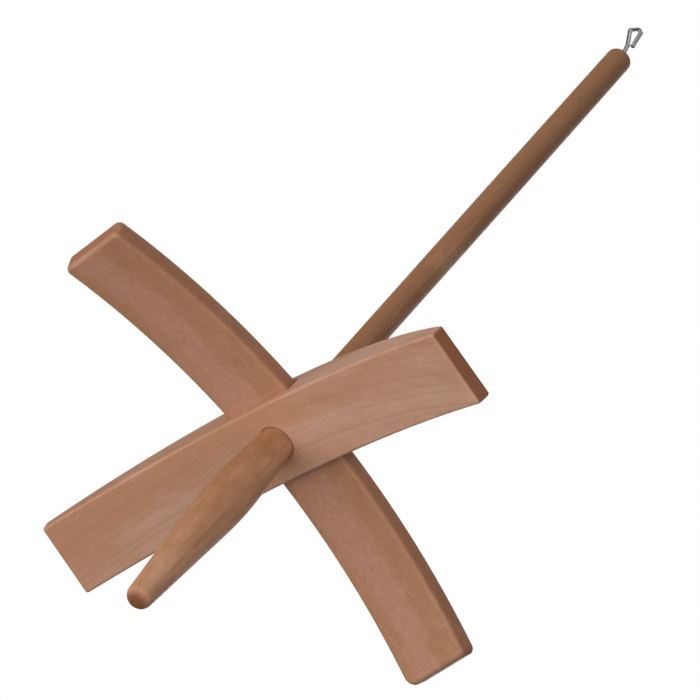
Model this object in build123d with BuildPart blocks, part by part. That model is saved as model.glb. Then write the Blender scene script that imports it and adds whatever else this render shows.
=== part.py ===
"""Turkish drop spindle: a turned shaft with a wire hook, and two bowed arms that lock together.

The inner arm passes through a mortise in the outer arm, and the shaft passes up through both and
wedges them on its taper. Lengths are millimetres. The shaft runs up +Z with its tip at the origin
and the hook on top, the outer arm lies along X and the inner arm along Y.
"""

import os
from math import atan2, cos, radians, sin, sqrt, tan

from build123d import *

# Shaft, with heights measured up from the tip
SHAFT_LENGTH = 365.0
TIP_RADIUS = 4.2
TIP_ROUND = 3.4
BELLY_RADIUS = 8.4  # where the two tapers would meet if the shoulder weren't rounded
BELLY_HEIGHT = 60.5
BELLY_ROUND = 160.0
STEM_RADIUS = 4.65  # slimmest, just above the arms
STEM_HEIGHT = 118.0
STEM_ROUND = 400.0
TOP_RADIUS = 4.9
TOP_STRAIGHT = 90.0  # parallel stretch below the top end
TOP_ROUND = 2.0

# Arms
ARM_HOLE_RADIUS = 6.25
SEAT_GAP = 0.05  # running clearance of the outer arm's hole where the taper stops it
OUTER_EDGE_ROUND = 1.0
INNER_EDGE_ROUND = 1.6
OUTER_LENGTH = 196.2
OUTER_WIDTH = 27.5
OUTER_END_THICKNESS = 5.4
OUTER_BOW_RADIUS = 314.0  # of the hollow face that looks at the tip
OUTER_OFF_CENTRE = -1.2  # from the shaft's axis to the middle of the bar, along the bar
OUTER_END_SKEW = 3.5  # degrees that both end cuts are off square, about the shaft's direction
FRONT_CHEEK = 4.2  # wood between the mortise and the tip side
BACK_CHEEK = 3.3  # wood between the mortise and the hook side
INNER_LENGTH = 181.0
INNER_WIDTH = 29.7
INNER_THICKNESS = 6.8
INNER_BOW_RADIUS = 271.0
INNER_OFF_CENTRE = 1.7
INNER_END_SKEW = -2.7
INNER_CORNER = 2.4  # rounding of the bar's corners, seen from the tip
INNER_WORN_CORNER = 4.2  # of the one corner, at +Y and -X, that is rounded more
INNER_REST_TURN = 3.5  # degrees off square, clockwise seen from the hook, as it lies at rest

# Mortise, cut to suit the inner arm
MORTISE_GAP = 0.12  # above and below the inner arm
MORTISE_PLAY = 0.15  # at each side, with the inner arm turned as far as it rests
CUT_EASE = 0.3  # broken edge at the mortise's mouths and the holes' rims

# Hook, of one wire
WIRE_RADIUS = 0.9
WIRE_ROUND = 0.3
HOOK_BURIED = 14.0
HOOK_FACING = 255.0  # degrees from +X to the side that the hook leans out to
HOOK_LEAN = (1.1, 8.6)  # bends as (out from the shaft's axis, up from its top end)
HOOK_SHOULDER = (4.15, 16.4)
HOOK_CROWN = (0.8, 22.6)
HOOK_END = (-0.6, 10.0)
HOOK_NECK_UP = 2.5
HOOK_BEND = 1.1  # centreline radius of each bend

SAW_WASTE = 8.0  # the bars are drawn this much longer at each end and sawn off square

os.makedirs("parts", exist_ok=True)

seat_slope = (BELLY_RADIUS - STEM_RADIUS) / (STEM_HEIGHT - BELLY_HEIGHT)
seat_height = STEM_HEIGHT - (ARM_HOLE_RADIUS - SEAT_GAP - STEM_RADIUS) / seat_slope


def bow_drop(radius, half_chord):
    """How far an arc falls below its middle at half_chord to either side."""
    return radius - sqrt(radius**2 - half_chord**2)


turn = radians(INNER_REST_TURN)
inner_reach = OUTER_WIDTH / 2 / cos(turn) + abs(INNER_OFF_CENTRE)
inner_drop = bow_drop(INNER_BOW_RADIUS, inner_reach)
mortise_floor = seat_height + FRONT_CHEEK
mortise_height = INNER_THICKNESS + inner_drop + 2 * MORTISE_GAP
inner_height = mortise_floor + MORTISE_GAP + inner_drop
mortise_width = INNER_WIDTH / cos(turn) + OUTER_WIDTH * tan(turn) + 2 * MORTISE_PLAY
outer_thickness = FRONT_CHEEK + mortise_height + BACK_CHEEK

outer_plane = Plane((OUTER_OFF_CENTRE, 0, 0), x_dir=(1, 0, 0), z_dir=(0, -1, 0))
inner_along = Vector(sin(turn), cos(turn), 0)
inner_plane = Plane(inner_along * INNER_OFF_CENTRE, x_dir=inner_along, z_dir=(cos(turn), -sin(turn), 0))
facing = radians(HOOK_FACING)
hook_plane = Plane(
    (0, 0, SHAFT_LENGTH),
    x_dir=(cos(facing), sin(facing), 0),
    z_dir=(sin(facing), -cos(facing), 0),
)


def bar_side(plane, height, length, bow_radius, middle_thickness, end_thickness):
    """Side view of a bowed bar, hollow below, with saw waste at both ends."""
    half = length / 2
    slope = atan2(half, bow_radius - bow_drop(bow_radius, half))
    back_half = half + end_thickness * sin(slope)
    back_drop = middle_thickness + bow_drop(bow_radius, half) - end_thickness * cos(slope)
    back_radius = (back_half**2 + back_drop**2) / (2 * back_drop)
    reach = half + SAW_WASTE
    front_end = height - bow_drop(bow_radius, reach)
    back_middle = height + middle_thickness
    back_end = back_middle - bow_drop(back_radius, reach)
    with BuildSketch(plane) as side:
        with BuildLine():
            ThreePointArc((-reach, front_end), (0, height), (reach, front_end))
            Line((reach, front_end), (reach, back_end))
            ThreePointArc((reach, back_end), (0, back_middle), (-reach, back_end))
            Line((-reach, back_end), (-reach, front_end))
        make_face()
    return side.sketch


def end_plane(plane, height, length, bow_radius, direction, skew):
    """Plane of one end cut, square to the bar's hollow face but for the skew, facing outwards."""
    half = direction * length / 2
    corner = plane.from_local_coords((half, height - bow_drop(bow_radius, half), 0))
    bow_centre = plane.from_local_coords((0, height - bow_radius, 0))
    outwards = (corner - bow_centre).cross(plane.z_dir) * direction
    return Plane(corner, z_dir=outwards.rotate(Axis.Z, skew))


with BuildPart() as shaft:
    with BuildSketch(Plane.XZ):
        with BuildLine():
            Polyline(
                (0, 0),
                (TIP_RADIUS, 0),
                (BELLY_RADIUS, BELLY_HEIGHT),
                (STEM_RADIUS, STEM_HEIGHT),
                (TOP_RADIUS, SHAFT_LENGTH - TOP_STRAIGHT),
                (TOP_RADIUS, SHAFT_LENGTH),
                (0, SHAFT_LENGTH),
                close=True,
            )
        make_face()
        for corner, rounding in (
            ((TIP_RADIUS, 0), TIP_ROUND),
            ((BELLY_RADIUS, BELLY_HEIGHT), BELLY_ROUND),
            ((STEM_RADIUS, STEM_HEIGHT), STEM_ROUND),
            ((TOP_RADIUS, SHAFT_LENGTH), TOP_ROUND),
        ):
            fillet(vertices().sort_by_distance(corner)[0], rounding)
    revolve(axis=Axis.Z)
    with Locations((0, 0, SHAFT_LENGTH)):
        Hole(WIRE_RADIUS, depth=HOOK_BURIED)

with BuildPart() as outer_arm:
    outer_bow = (seat_height, OUTER_LENGTH, OUTER_BOW_RADIUS)
    outer_side = bar_side(outer_plane, *outer_bow, outer_thickness, OUTER_END_THICKNESS)
    extrude(outer_side, amount=OUTER_WIDTH / 2, both=True)
    for direction in (-1, 1):
        cut = end_plane(outer_plane, *outer_bow, direction, OUTER_END_SKEW)
        split(bisect_by=cut, keep=Keep.BOTTOM)
    fillet(edges(), OUTER_EDGE_ROUND)
    with BuildSketch(outer_plane):
        with Locations((-OUTER_OFF_CENTRE, mortise_floor + mortise_height / 2)):
            Rectangle(mortise_width, mortise_height)
    extrude(amount=OUTER_WIDTH, both=True, mode=Mode.SUBTRACT)
    for side_face in (faces().sort_by(Axis.Y)[0], faces().sort_by(Axis.Y)[-1]):
        chamfer(side_face.inner_wires().edges(), CUT_EASE)
    with Locations((0, 0, seat_height)):
        Hole(ARM_HOLE_RADIUS)
    bore = faces().filter_by(GeomType.CYLINDER).filter_by(lambda face: face.radius == ARM_HOLE_RADIUS)
    chamfer([bore.edges().sort_by(Axis.Z)[0], bore.edges().sort_by(Axis.Z)[-1]], CUT_EASE)

with BuildPart() as inner_arm:
    inner_bow = (inner_height, INNER_LENGTH, INNER_BOW_RADIUS)
    inner_side = bar_side(inner_plane, *inner_bow, INNER_THICKNESS, INNER_THICKNESS)
    extrude(inner_side, amount=INNER_WIDTH / 2, both=True)
    for direction in (-1, 1):
        cut = end_plane(inner_plane, *inner_bow, direction, INNER_END_SKEW)
        split(bisect_by=cut, keep=Keep.BOTTOM)
    corners = edges().sort_by(SortBy.LENGTH)[:4].sort_by(Axis((0, 0, 0), (-1, 1, 0)))
    worn_place = corners[-1] @ 0.5
    fillet(corners[:-1], INNER_CORNER)
    fillet(edges().sort_by_distance(worn_place)[0], INNER_WORN_CORNER)
    fillet(edges(), INNER_EDGE_ROUND)
    with Locations((0, 0, inner_height)):
        Hole(ARM_HOLE_RADIUS)
    bore = faces().filter_by(GeomType.CYLINDER).filter_by(lambda face: face.radius == ARM_HOLE_RADIUS)
    chamfer(bore.edges().filter_by(GeomType.LINE, reverse=True), CUT_EASE)

with BuildPart() as hook:
    with BuildLine(hook_plane) as wire:
        FilletPolyline(
            (0, -HOOK_BURIED),
            (0, HOOK_NECK_UP),
            HOOK_LEAN,
            HOOK_SHOULDER,
            HOOK_CROWN,
            HOOK_END,
            radius=HOOK_BEND,
        )
    with BuildSketch(Plane(wire.wires()[0] @ 0, z_dir=wire.wires()[0] % 0)):
        Circle(WIRE_RADIUS)
    sweep()
    fillet(edges().filter_by(GeomType.CIRCLE).sort_by_distance(wire.wires()[0] @ 1)[0], WIRE_ROUND)

for name, piece in (
    ("shaft", shaft.part),
    ("hook", hook.part),
    ("outer_arm", outer_arm.part),
    ("inner_arm", inner_arm.part),
):
    piece.label = name
    export_step(piece, f"parts/{name}.step")
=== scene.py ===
"""Turkish drop spindle, finished: sanded and oiled wood, plated wire, and a plain studio.

The four pieces come from model.glb and keep their shape and place. This file gives each one its
finish and sets the camera, the lights and the floor. Lengths are metres, +Z runs up the shaft from
its tip to its hook, the outer arm lies along X and the inner arm along Y.
"""

from math import radians

import bpy
from mathutils import Euler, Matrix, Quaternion, Vector


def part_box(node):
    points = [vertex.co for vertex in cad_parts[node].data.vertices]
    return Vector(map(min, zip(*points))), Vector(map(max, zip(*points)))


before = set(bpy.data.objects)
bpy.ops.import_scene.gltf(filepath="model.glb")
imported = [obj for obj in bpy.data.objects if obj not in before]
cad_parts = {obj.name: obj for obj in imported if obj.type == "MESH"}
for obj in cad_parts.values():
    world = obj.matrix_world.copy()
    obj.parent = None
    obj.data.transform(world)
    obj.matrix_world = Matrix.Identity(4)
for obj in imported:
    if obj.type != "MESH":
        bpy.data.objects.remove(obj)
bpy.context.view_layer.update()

bl_info = {
    "name": "Turkish Drop Spindle",
    "version": (1, 0, 0),
    "blender": (4, 5, 0),
    "location": "3D View > Sidebar > Spindle",
    "description": "Finishes the spindle's wood and wire and sets it in a plain studio",
    "category": "Object",
}

MM = 0.001
FIBRE_RELIEF = 0.008 * MM  # how far the fibres stand up after sanding
PLIER_MARKS = 1.6 * MM  # usual size of one mark on the wire
PLIER_RELIEF = 0.006 * MM
PAPER_FIBRE = 2.5 * MM
PAPER_RELIEF = 0.1 * MM
FLOOR_SIDE = 90.0

# In the wood, in millimetres
WIDE_RING_SPAN = 9.09  # from a run of wide rings to a run of narrow ones
BAND_SPAN = 14.29  # from one broad band of colour to the next
RAY_WIDTH = 0.45
RAY_HEIGHT = 0.9
RAY_DEPTH = 5.0

# How dark the wood is at each share of a ring's width: pale at first, then a dense line at the end
RING_START = 0.1
RING_PROFILE = ((0.12, 0.0), (0.6, 0.18), (0.9, 1.0))

SHAFT_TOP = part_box("shaft")[1].z
ARMS_MIDDLE = (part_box("outer_arm")[0].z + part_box("outer_arm")[1].z) / 2


def linear(code):
    """A colour as the renderer wants it, from an sRGB hex code."""
    parts = [int(code[place : place + 2], 16) / 255 for place in (0, 2, 4)]
    return tuple(part / 12.92 if part <= 0.04045 else ((part + 0.055) / 1.055) ** 2.4 for part in parts)


def add_node(tree, kind, inputs=None, **settings):
    """One node, with its settings and with each input given a value or a link."""
    node = tree.nodes.new(kind)
    for name, value in settings.items():
        setattr(node, name, value)
    for socket, value in (inputs or {}).items():
        if isinstance(value, bpy.types.NodeSocket):
            tree.links.new(value, node.inputs[socket])
        else:
            node.inputs[socket].default_value = value
    return node


def new_material(name):
    """An empty node material and its tree."""
    material = bpy.data.materials.new(name)
    material.use_nodes = True
    material.node_tree.nodes.clear()
    return material, material.node_tree


def finish_node(name, material):
    """Puts the material in every slot of a CAD piece."""
    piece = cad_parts[name]
    for slot in piece.material_slots:
        slot.material = material


def wood_material(name, wood, pith, log_turn, figure):
    """Solid close-grained hardwood, so that faces, sides and end grain are all cut from one log.

    pith is a point on the log's centre line and log_turn turns the log's length from +Z to the way
    the grain runs. figure holds how strongly each feature shows: how far the rings sway and how
    uneven they are, counted in rings; how dark the lines, fibres, mottle, rays and patches are; how
    softly the bands blend, and how they drift along the log and out from its middle; how much
    darker end grain is; how much painted shade darkens the faces square to the log's X way; and
    pith_reach, in millimetres from the pith to the middle of the piece.
    """
    material, tree = new_material(name)
    place = add_node(tree, "ShaderNodeTexCoord")
    log = add_node(
        tree,
        "ShaderNodeMapping",
        {"Vector": place.outputs["Object"], "Location": pith, "Rotation": log_turn, "Scale": (MM, MM, MM)},
        vector_type="TEXTURE",
    ).outputs["Vector"]

    def grained(stretch, detail=2.0, roughness=0.5, seed=0.0):
        """Noise with its grain this many millimetres across, across and along the log."""
        squeezed = add_node(
            tree,
            "ShaderNodeVectorMath",
            {0: log, 1: tuple(1 / side for side in stretch), 2: (seed, seed, seed)},
            operation="MULTIPLY_ADD",
        )
        return add_node(
            tree,
            "ShaderNodeTexNoise",
            {"Vector": squeezed.outputs[0], "Scale": 1.0, "Detail": detail, "Roughness": roughness},
        ).outputs["Fac"]

    def swayed(value, pattern, amount):
        """The value, moved up and down by a pattern that runs from 0 to 1."""
        swing = add_node(tree, "ShaderNodeMath", {0: pattern, 1: 0.5}, operation="SUBTRACT").outputs[0]
        return add_node(
            tree, "ShaderNodeMath", {0: swing, 1: amount, 2: value}, operation="MULTIPLY_ADD"
        ).outputs[0]

    # Growth rings: distance from the pith, swaying along the log, each ring a different width
    spread = add_node(tree, "ShaderNodeVectorMath", {0: log, 1: (1, 1, 0)}, operation="MULTIPLY").outputs[0]
    from_pith = add_node(tree, "ShaderNodeVectorMath", {0: spread}, operation="LENGTH").outputs["Value"]
    over_years = {}
    for span, seed, detail in ((WIDE_RING_SPAN, 0.0, 1.0), (BAND_SPAN, 3.0, 0.0)):
        years = add_node(
            tree,
            "ShaderNodeMath",
            {0: from_pith, 1: 1 / span, 2: figure["seed"] + seed},
            operation="MULTIPLY_ADD",
        ).outputs[0]
        over_years[span] = add_node(
            tree, "ShaderNodeTexNoise", {"W": years, "Scale": 1.0, "Detail": detail}, noise_dimensions="1D"
        ).outputs["Fac"]
    rings = add_node(
        tree, "ShaderNodeMath", {0: from_pith, 1: wood.ring_width / MM}, operation="DIVIDE"
    ).outputs[0]
    rings = swayed(rings, grained((40, 40, 170), detail=1.0, seed=figure["seed"]), figure["sway"])
    rings = swayed(rings, over_years[WIDE_RING_SPAN], figure["uneven"])
    ring_place = add_node(tree, "ShaderNodeMath", {0: rings}, operation="FRACT").outputs[0]
    late = add_node(tree, "ShaderNodeValToRGB", {"Fac": ring_place})
    ramp = late.color_ramp
    ramp.interpolation = "EASE"
    for stop in ramp.elements:
        stop.color = (RING_START, RING_START, RING_START, 1)
    for position, level in RING_PROFILE:
        ramp.elements.new(position).color = (level, level, level, 1)
    year = add_node(tree, "ShaderNodeMath", {0: rings}, operation="FLOOR").outputs[0]
    which_ring = add_node(tree, "ShaderNodeTexWhiteNoise", {"W": year}, noise_dimensions="1D")
    ring_strength = add_node(
        tree, "ShaderNodeMath", {0: which_ring.outputs["Value"], 1: 0.7, 2: 0.3}, operation="MULTIPLY_ADD"
    ).outputs[0]
    line = add_node(
        tree, "ShaderNodeMath", {0: late.outputs["Color"], 1: ring_strength}, operation="MULTIPLY"
    ).outputs[0]

    # Colour: early wood, darker late wood, and broad bands of another tone
    band = swayed(over_years[BAND_SPAN], grained((14, 14, 60), detail=1.0, seed=8.0), 1.0)
    band = swayed(band, grained((4, 4, 9), seed=5.0), figure["patches"])
    log_axes = add_node(tree, "ShaderNodeSeparateXYZ", {0: log})
    from_middle = add_node(
        tree, "ShaderNodeMath", {0: from_pith, 1: figure["pith_reach"]}, operation="SUBTRACT"
    ).outputs[0]
    for distance, drift in (
        (log_axes.outputs["Z"], figure["drift_along"] / 100),
        (from_middle, figure["drift_out"] / 10),
    ):
        band = add_node(
            tree, "ShaderNodeMath", {0: distance, 1: drift, 2: band}, operation="MULTIPLY_ADD"
        ).outputs[0]
    banded = add_node(
        tree,
        "ShaderNodeMapRange",
        {"Value": band, "From Min": 0.5 - figure["soft"], "From Max": 0.5 + figure["soft"]},
    ).outputs[0]
    lined = add_node(
        tree, "ShaderNodeMath", {0: line, 1: figure["lines"]}, operation="MULTIPLY"
    ).outputs[0]

    # End grain drinks more oil and goes darker. Faces square to the log's X way get painted shade, darker
    # like a side turned away from the light
    end_grain_and_painted_shade = 0.0
    for way, least, most in (((0, 0, 1), 0.45, figure["end"]), ((1, 0, 0), 0.7, figure["side"])):
        turned = Euler(log_turn).to_matrix() @ Vector(way)
        facing = add_node(
            tree, "ShaderNodeVectorMath", {0: place.outputs["Normal"], 1: turned}, operation="DOT_PRODUCT"
        ).outputs["Value"]
        squareness = add_node(tree, "ShaderNodeMath", {0: facing}, operation="ABSOLUTE").outputs[0]
        share = add_node(
            tree,
            "ShaderNodeMapRange",
            {"Value": squareness, "From Min": least, "From Max": 0.95, "To Max": most},
        ).outputs[0]
        end_grain_and_painted_shade = add_node(tree, "ShaderNodeMath", {0: share, 1: end_grain_and_painted_shade}, operation="ADD").outputs[0]

    tone = (*wood.early_tone, 1)
    for share, other in ((banded, wood.band_tone), (lined, wood.late_tone), (end_grain_and_painted_shade, wood.end_grain_and_shade_tone)):
        tone = add_node(
            tree, "ShaderNodeMix", {"Factor": share, 6: tone, 7: (*other, 1)}, data_type="RGBA"
        ).outputs[2]

    # Fibres run with the grain; rays lie across it in thin ribbons that point at the pith. Both are
    # finer than this in real beech, and are drawn as coarse as they need to show
    fibre = grained((0.55, 0.55, 14), detail=3.0, roughness=0.6)
    mottle = grained((2, 2, 4), detail=3.0, seed=11.0)
    angle = add_node(
        tree,
        "ShaderNodeMath",
        {0: log_axes.outputs["Y"], 1: log_axes.outputs["X"]},
        operation="ARCTAN2",
    ).outputs[0]
    depth = add_node(tree, "ShaderNodeMath", {0: from_pith, 1: RAY_DEPTH}, operation="DIVIDE").outputs[0]
    side = add_node(
        tree, "ShaderNodeMath", {0: angle, 1: figure["pith_reach"] / RAY_WIDTH}, operation="MULTIPLY"
    ).outputs[0]
    along = add_node(
        tree, "ShaderNodeMath", {0: log_axes.outputs["Z"], 1: RAY_HEIGHT}, operation="DIVIDE"
    ).outputs[0]
    ribbons = add_node(tree, "ShaderNodeCombineXYZ", {"X": depth, "Y": side, "Z": along}).outputs[0]
    ray = add_node(
        tree, "ShaderNodeTexNoise", {"Vector": ribbons, "Scale": 1.0, "Detail": 1.0}
    ).outputs["Fac"]
    shade = 1.0
    for pattern, amount in ((fibre, figure["fibre"]), (mottle, figure["mottle"]), (ray, figure["rays"])):
        shade = swayed(shade, pattern, amount)
    tinted = add_node(
        tree, "ShaderNodeVectorMath", {0: tone, "Scale": shade}, operation="SCALE"
    ).outputs[0]

    height = add_node(
        tree, "ShaderNodeMath", {0: line, 1: 0.35, 2: fibre}, operation="MULTIPLY_ADD"
    ).outputs[0]
    bump = add_node(
        tree, "ShaderNodeBump", {"Height": height, "Strength": 0.5, "Distance": FIBRE_RELIEF}
    ).outputs["Normal"]
    shader = add_node(
        tree,
        "ShaderNodeBsdfPrincipled",
        {
            "Base Color": tinted,
            "Roughness": swayed(wood.roughness, fibre, -0.16),
            "IOR": 1.5,
            "Specular IOR Level": 0.32,
            "Normal": bump,
        },
    )
    add_node(tree, "ShaderNodeOutputMaterial", {"Surface": shader.outputs[0]})
    return material


class ShaftWood(bpy.types.PropertyGroup):
    early_tone: bpy.props.FloatVectorProperty(
        name="Early wood",
        description="Colour of the soft part of each ring",
        subtype="COLOR",
        default=linear("EDB896"),
    )
    late_tone: bpy.props.FloatVectorProperty(
        name="Late wood",
        description="Colour of the dense line that ends each ring",
        subtype="COLOR",
        default=linear("A8734F"),
    )
    band_tone: bpy.props.FloatVectorProperty(
        name="Bands",
        description="Colour of the broad darker bands",
        subtype="COLOR",
        default=linear("AE7953"),
    )
    end_grain_and_shade_tone: bpy.props.FloatVectorProperty(
        name="End grain",
        description="Colour where the grain is cut across",
        subtype="COLOR",
        default=linear("855233"),
    )
    ring_width: bpy.props.FloatProperty(
        name="Ring width", description="Usual width of one growth ring", default=2.2 * MM, unit="LENGTH"
    )
    roughness: bpy.props.FloatProperty(
        name="Roughness", description="How dull the oiled surface is", default=0.58, subtype="FACTOR"
    )


class OuterArmWood(bpy.types.PropertyGroup):
    early_tone: bpy.props.FloatVectorProperty(
        name="Early wood",
        description="Colour of the soft part of each ring",
        subtype="COLOR",
        default=linear("CEA28B"),
    )
    late_tone: bpy.props.FloatVectorProperty(
        name="Late wood",
        description="Colour of the dense line that ends each ring",
        subtype="COLOR",
        default=linear("AE7D60"),
    )
    band_tone: bpy.props.FloatVectorProperty(
        name="Bands",
        description="Colour of the broad warmer bands",
        subtype="COLOR",
        default=linear("C08C6C"),
    )
    end_grain_and_shade_tone: bpy.props.FloatVectorProperty(
        name="End grain",
        description="Colour where the grain is cut across",
        subtype="COLOR",
        default=linear("9A6040"),
    )
    ring_width: bpy.props.FloatProperty(
        name="Ring width", description="Usual width of one growth ring", default=3.6 * MM, unit="LENGTH"
    )
    roughness: bpy.props.FloatProperty(
        name="Roughness", description="How dull the oiled surface is", default=0.5, subtype="FACTOR"
    )


class InnerArmWood(bpy.types.PropertyGroup):
    early_tone: bpy.props.FloatVectorProperty(
        name="Early wood",
        description="Colour of the soft part of each ring",
        subtype="COLOR",
        default=linear("BF8C72"),
    )
    late_tone: bpy.props.FloatVectorProperty(
        name="Late wood",
        description="Colour of the dense line that ends each ring",
        subtype="COLOR",
        default=linear("B0795C"),
    )
    band_tone: bpy.props.FloatVectorProperty(
        name="Bands",
        description="Colour of the broad browner bands",
        subtype="COLOR",
        default=linear("B58262"),
    )
    # This tone is also painted on the arm's side faces, square to X, as shade
    end_grain_and_shade_tone: bpy.props.FloatVectorProperty(
        name="End grain",
        description="Colour where the grain is cut across",
        subtype="COLOR",
        default=linear("A96E50"),
    )
    ring_width: bpy.props.FloatProperty(
        name="Ring width", description="Usual width of one growth ring", default=4.6 * MM, unit="LENGTH"
    )
    roughness: bpy.props.FloatProperty(
        name="Roughness", description="How dull the oiled surface is", default=0.52, subtype="FACTOR"
    )


class HookWire(bpy.types.PropertyGroup):
    metal_tone: bpy.props.FloatVectorProperty(
        name="Metal", description="Colour of the nickel plate", subtype="COLOR", default=linear("D3D1CF")
    )
    roughness: bpy.props.FloatProperty(
        name="Roughness", description="How dull the plate is", default=0.32, subtype="FACTOR"
    )


class Studio(bpy.types.PropertyGroup):
    camera_place: bpy.props.FloatVectorProperty(
        name="Camera",
        description="Where the camera stands",
        subtype="XYZ",
        unit="LENGTH",
        default=(1.0374, -0.2944, -0.9767),
    )
    camera_aim: bpy.props.FloatVectorProperty(
        name="Aim",
        description="Point that the camera looks at",
        subtype="XYZ",
        unit="LENGTH",
        default=(0.0727, -0.0230, 0.0712),
    )
    camera_roll: bpy.props.FloatProperty(
        name="Roll",
        description="Turn of the camera about its line of sight",
        default=radians(41.84),
        unit="ROTATION",
    )
    camera_lens: bpy.props.FloatProperty(
        name="Lens", description="Focal length in millimetres on a 36 mm wide sensor", default=237.0
    )
    floor_height: bpy.props.FloatProperty(
        name="Floor", description="Height of the floor, under the camera", default=-4.5, unit="LENGTH"
    )
    floor_tone: bpy.props.FloatVectorProperty(
        name="Floor paper",
        description="Colour of the paper floor",
        subtype="COLOR",
        default=linear("ECEAE6"),
    )
    air_light: bpy.props.FloatProperty(
        name="Air", description="Strength of the even light from all round", default=0.14, min=0.0
    )
    key_power: bpy.props.FloatProperty(
        name="Key", description="Power of the large soft light in front", default=9.9, unit="POWER"
    )
    fill_power: bpy.props.FloatProperty(
        name="Fill", description="Power of the soft light to the right", default=3.5, unit="POWER"
    )
    top_power: bpy.props.FloatProperty(
        name="Top", description="Power of the soft light overhead", default=11.0, unit="POWER"
    )
    sky_power: bpy.props.FloatProperty(
        name="Sky", description="Power of the soft light straight above", default=5.0, unit="POWER"
    )
    glint_power: bpy.props.FloatProperty(
        name="Glint",
        description="Power of the small light that the wire mirrors",
        default=1.0,
        unit="POWER",
    )


class SPINDLE_OT_shaft(bpy.types.Operator):
    """Finishes the turned shaft"""

    bl_idname = "spindle.shaft"
    bl_label = "Shaft"

    def execute(self, context):
        # Oiled beech dowel, turned and sanded: browner than the arms, with fine streaks all along it
        finish_node(
            "shaft",
            wood_material(
                "oiled_beech_shaft",
                context.scene.spindle_shaft,
                pith=(0.02, -0.04, 0.0),
                log_turn=(radians(0.3), radians(-0.3), 0.0),
                figure={
                    "seed": 2.0,
                    "sway": 0.4,
                    "uneven": 1.4,
                    "lines": 0.1,
                    "fibre": 0.3,
                    "mottle": 0.16,
                    "rays": 0.1,
                    "patches": 0.45,
                    "soft": 0.4,
                    "drift_along": 0.2,
                    "drift_out": 0.0,
                    "end": 1.0,
                    "side": 0.0,
                    "pith_reach": 45.0,
                },
            ),
        )
        return {"FINISHED"}


class SPINDLE_OT_outer_arm(bpy.types.Operator):
    """Finishes the outer arm"""

    bl_idname = "spindle.outer_arm"
    bl_label = "Outer arm"

    def execute(self, context):
        # Sanded and oiled beech, sawn a little off the quarter: ring lines run along the bar and
        # fan out where the bow cuts down through them
        finish_node(
            "outer_arm",
            wood_material(
                "oiled_beech_outer_arm",
                context.scene.spindle_outer_arm,
                pith=(0.0, -0.08, ARMS_MIDDLE - 0.04),
                log_turn=(0.0, radians(90), radians(1.46)),
                figure={
                    "seed": 1.0,
                    "sway": 1.1,
                    "uneven": 2.4,
                    "lines": 0.45,
                    "fibre": 0.18,
                    "mottle": 0.12,
                    "rays": 0.1,
                    "patches": 0.35,
                    "soft": 0.25,
                    "drift_along": -0.11,
                    "drift_out": -0.1,
                    "end": 0.9,
                    "side": 0.0,
                    "pith_reach": 90.0,
                },
            ),
        )
        return {"FINISHED"}


class SPINDLE_OT_inner_arm(bpy.types.Operator):
    """Finishes the inner arm"""

    bl_idname = "spindle.inner_arm"
    bl_label = "Inner arm"

    def execute(self, context):
        # Sanded and oiled beech, sawn on the quarter: fine ray fleck lies across the bar
        finish_node(
            "inner_arm",
            wood_material(
                "oiled_beech_inner_arm",
                context.scene.spindle_inner_arm,
                pith=(-0.11, 0.0, ARMS_MIDDLE - 0.01),
                log_turn=(radians(-90), 0.0, radians(-3.5)),
                figure={
                    "seed": 4.0,
                    "sway": 0.7,
                    "uneven": 1.6,
                    "lines": 0.25,
                    "fibre": 0.16,
                    "mottle": 0.28,
                    "rays": 0.26,
                    "patches": 1.3,
                    "soft": 0.25,
                    "drift_along": 0.0,
                    "drift_out": 0.0,
                    "end": 0.8,
                    # Painted shade: the side faces square to X are darkened towards the end tone, like a
                    # shaded side
                    "side": 0.35,
                    "pith_reach": 110.0,
                },
            ),
        )
        return {"FINISHED"}


class SPINDLE_OT_hook(bpy.types.Operator):
    """Finishes the wire hook"""

    bl_idname = "spindle.hook"
    bl_label = "Hook"

    def execute(self, context):
        # Nickel-plated steel wire, drawn and bent cold: bright, with faint marks from the pliers
        wire = context.scene.spindle_hook
        material, tree = new_material("nickel_plated_wire")
        place = add_node(tree, "ShaderNodeTexCoord").outputs["Object"]
        marks = add_node(
            tree, "ShaderNodeTexNoise", {"Vector": place, "Scale": 1 / PLIER_MARKS, "Detail": 3.0}
        ).outputs["Fac"]
        rough = add_node(
            tree,
            "ShaderNodeMapRange",
            {
                "Value": marks,
                "From Min": 0.3,
                "From Max": 0.7,
                "To Min": wire.roughness - 0.06,
                "To Max": wire.roughness + 0.1,
            },
        ).outputs[0]
        bump = add_node(
            tree, "ShaderNodeBump", {"Height": marks, "Strength": 0.3, "Distance": PLIER_RELIEF}
        ).outputs["Normal"]
        shader = add_node(
            tree,
            "ShaderNodeBsdfPrincipled",
            {"Base Color": (*wire.metal_tone, 1), "Metallic": 1.0, "Roughness": rough, "Normal": bump},
        )
        add_node(tree, "ShaderNodeOutputMaterial", {"Surface": shader.outputs[0]})
        finish_node("hook", material)
        return {"FINISHED"}


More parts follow.
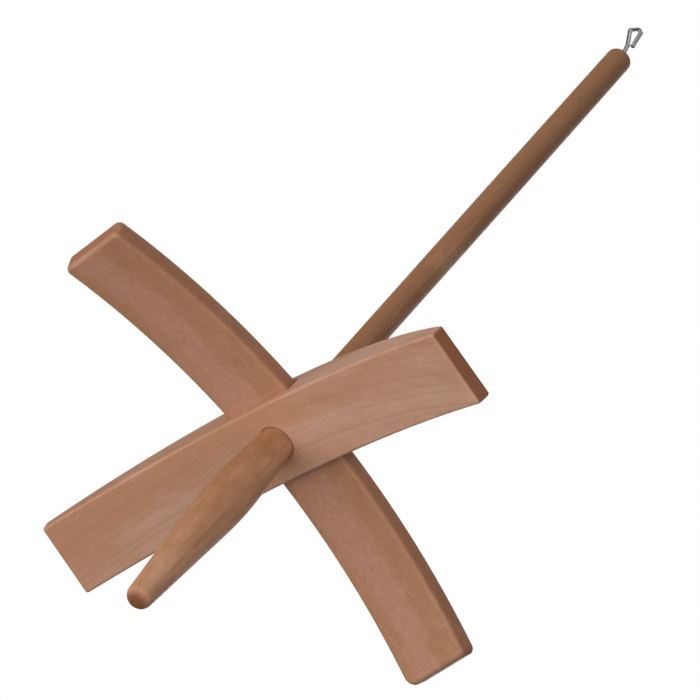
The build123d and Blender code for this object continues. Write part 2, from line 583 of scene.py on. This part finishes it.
class SPINDLE_OT_studio(bpy.types.Operator):
    """Sets the camera, the lights, the air and the floor"""

    bl_idname = "spindle.studio"
    bl_label = "Studio"

    def execute(self, context):
        studio = context.scene.spindle_studio
        scene = context.scene
        scene.view_settings.view_transform = "Standard"

        camera = bpy.data.objects.new("camera", bpy.data.cameras.new("camera"))
        scene.collection.objects.link(camera)
        camera.data.lens = studio.camera_lens
        camera.data.sensor_width = 36.0
        camera.data.clip_start = 0.05
        camera.data.clip_end = 50.0
        camera.location = studio.camera_place
        looking = (Vector(studio.camera_aim) - camera.location).to_track_quat("-Z", "Y")
        camera.rotation_mode = "QUATERNION"
        camera.rotation_quaternion = looking @ Quaternion((0, 0, 1), studio.camera_roll)
        scene.camera = camera

        arms = Vector((0, 0, ARMS_MIDDLE))
        hook = Vector((0, 0, SHAFT_TOP))
        for name, lit, power, side, way, distance in (
            ("key_light", arms, studio.key_power, 1.4, (-0.16, -0.8, -0.58), 1.1),
            ("fill_light", arms, studio.fill_power, 0.7, (0.58, -0.28, -0.74), 0.85),
            ("top_light", arms, studio.top_power, 1.4, (-0.6, 0.4, 0.7), 1.3),
            ("sky_light", arms, studio.sky_power, 0.8, (0.0, 0.0, 1.0), 1.5),
            ("glint_light", hook, studio.glint_power, 0.5, (0.54, -0.65, 0.53), 1.0),
        ):
            data = bpy.data.lights.new(name, "AREA")
            data.shape = "SQUARE"
            data.size = side
            data.energy = power
            light = bpy.data.objects.new(name, data)
            scene.collection.objects.link(light)
            light.visible_camera = False
            light.location = lit + Vector(way).normalized() * distance
            light.rotation_mode = "QUATERNION"
            light.rotation_quaternion = (lit - light.location).to_track_quat("-Z", "Y")

        # The air is white where the camera looks past the spindle, and dimmer as light
        world = bpy.data.worlds.new("studio_air")
        world.use_nodes = True
        tree = world.node_tree
        tree.nodes.clear()
        seen = add_node(tree, "ShaderNodeLightPath").outputs["Is Camera Ray"]
        air = add_node(tree, "ShaderNodeBackground", {"Color": (1, 1, 1, 1), "Strength": studio.air_light})
        white = add_node(tree, "ShaderNodeBackground", {"Color": (1, 1, 1, 1), "Strength": 1.0})
        mixed = add_node(
            tree, "ShaderNodeMixShader", {0: seen, 1: air.outputs[0], 2: white.outputs[0]}
        )
        add_node(tree, "ShaderNodeOutputWorld", {"Surface": mixed.outputs[0]})
        scene.world = world

        bpy.ops.object.select_all(action="DESELECT")
        bpy.ops.mesh.primitive_plane_add(size=FLOOR_SIDE, location=(0, 0, studio.floor_height))
        floor = context.active_object
        floor.name = "paper_floor"
        # Matt studio paper on a light table, with the faint unevenness of its fibres, drawn coarse so
        # that it shows: it looks nearly white but throws little light up at the spindle
        material, tree = new_material("matt_studio_paper")
        place = add_node(tree, "ShaderNodeTexCoord").outputs["Object"]
        fibres = add_node(
            tree, "ShaderNodeTexNoise", {"Vector": place, "Scale": 1 / PAPER_FIBRE, "Detail": 3.0}
        ).outputs["Fac"]
        bump = add_node(
            tree, "ShaderNodeBump", {"Height": fibres, "Strength": 0.1, "Distance": PAPER_RELIEF}
        ).outputs["Normal"]
        shader = add_node(
            tree,
            "ShaderNodeBsdfPrincipled",
            {"Base Color": (*studio.floor_tone, 1), "Roughness": 0.9, "Normal": bump},
        )
        glow = add_node(tree, "ShaderNodeEmission", {"Color": (*studio.floor_tone, 1), "Strength": 1.0})
        seen = add_node(tree, "ShaderNodeLightPath").outputs["Is Camera Ray"]
        share = add_node(tree, "ShaderNodeMath", {0: seen, 1: 0.9}, operation="MULTIPLY").outputs[0]
        lit = add_node(tree, "ShaderNodeMixShader", {0: share, 1: shader.outputs[0], 2: glow.outputs[0]})
        add_node(tree, "ShaderNodeOutputMaterial", {"Surface": lit.outputs[0]})
        floor.data.materials.append(material)
        return {"FINISHED"}


class SPINDLE_PT_panel(bpy.types.Panel):
    bl_idname = "SPINDLE_PT_panel"
    bl_label = "Turkish drop spindle"
    bl_space_type = "VIEW_3D"
    bl_region_type = "UI"
    bl_category = "Spindle"

    def draw(self, context):
        for name, (group, operator) in PIECES.items():
            column = self.layout.box().column()
            column.operator(operator.bl_idname)
            settings = getattr(context.scene, name)
            for prop in group.__annotations__:
                column.prop(settings, prop)


PIECES = {
    "spindle_shaft": (ShaftWood, SPINDLE_OT_shaft),
    "spindle_outer_arm": (OuterArmWood, SPINDLE_OT_outer_arm),
    "spindle_inner_arm": (InnerArmWood, SPINDLE_OT_inner_arm),
    "spindle_hook": (HookWire, SPINDLE_OT_hook),
    "spindle_studio": (Studio, SPINDLE_OT_studio),
}


def register():
    for name, (group, operator) in PIECES.items():
        bpy.utils.register_class(group)
        bpy.utils.register_class(operator)
        setattr(bpy.types.Scene, name, bpy.props.PointerProperty(type=group))
    bpy.utils.register_class(SPINDLE_PT_panel)


def unregister():
    bpy.utils.unregister_class(SPINDLE_PT_panel)
    for name, (group, operator) in PIECES.items():
        delattr(bpy.types.Scene, name)
        bpy.utils.unregister_class(operator)
        bpy.utils.unregister_class(group)


def main():
    register()
    bpy.ops.spindle.studio()
    bpy.ops.spindle.shaft()
    bpy.ops.spindle.outer_arm()
    bpy.ops.spindle.inner_arm()
    bpy.ops.spindle.hook()


if __name__ == "__main__":
    main()
